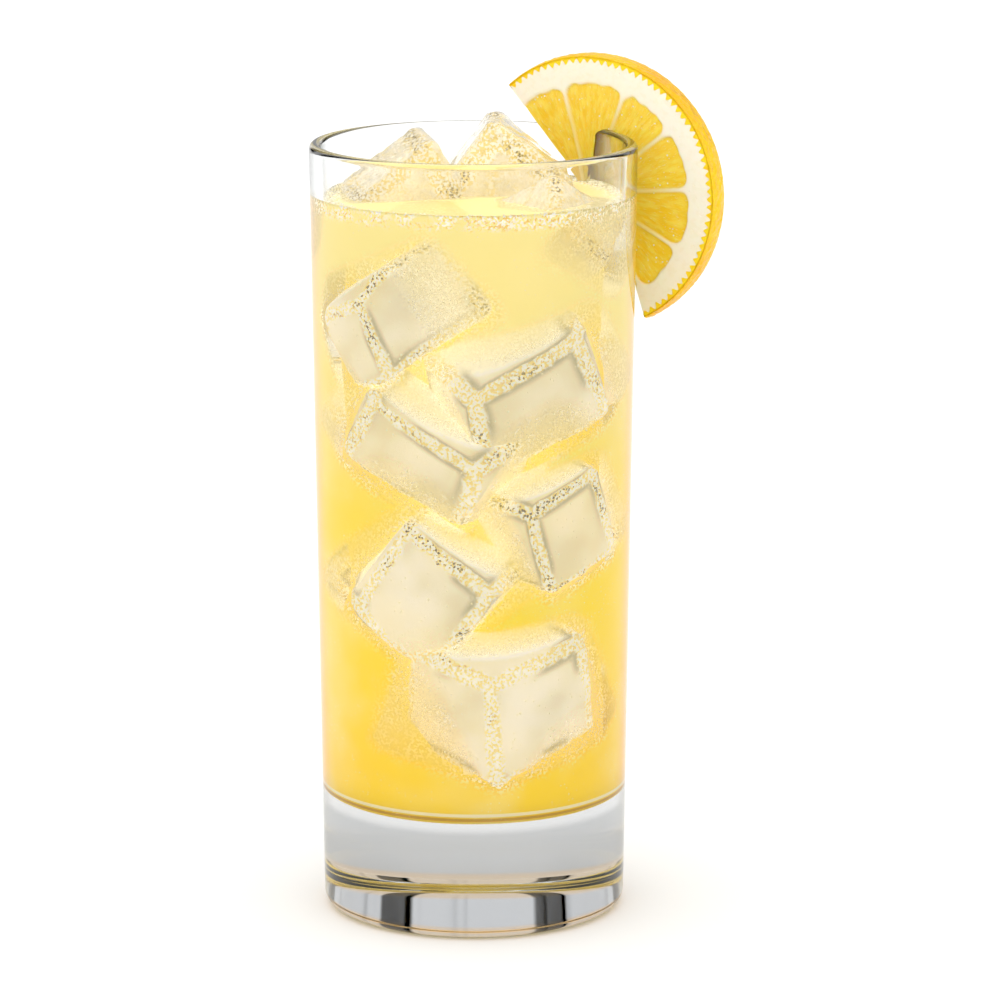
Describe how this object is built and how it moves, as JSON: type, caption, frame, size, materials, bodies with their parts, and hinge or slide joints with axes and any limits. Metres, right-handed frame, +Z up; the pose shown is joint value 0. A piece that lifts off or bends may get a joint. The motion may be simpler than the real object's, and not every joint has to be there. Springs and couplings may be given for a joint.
{
  "type": "glass of lemonade",
  "caption": "Straight highball glass with a heavy base, filled with cloudy lemonade and ice, with a cut lemon slice set over its rim.",
  "frame": {"origin": "centre of the glass's flat underside", "axes": "+Z up along the glass's axis; -Y is the front, where the ice shows best; +X is the side with the lemon slice"},
  "size_m": [0.0815, 0.0642, 0.1679],
  "materials": {
    "glass": "clear polished soda-lime glass",
    "drink": "cloudy pale yellow drink",
    "ice": "wet, bubbly, slightly melted ice",
    "lemon": "moist flesh, white pith and dimpled yellow rind"
  },
  "bodies": {
    "root": {"glass": "glass", "lemonade": "drink", "ice_left": "ice", "ice_middle": "ice", "ice_right": "ice", "lemon_slice": "lemon"}
  },
  "joints": []
}
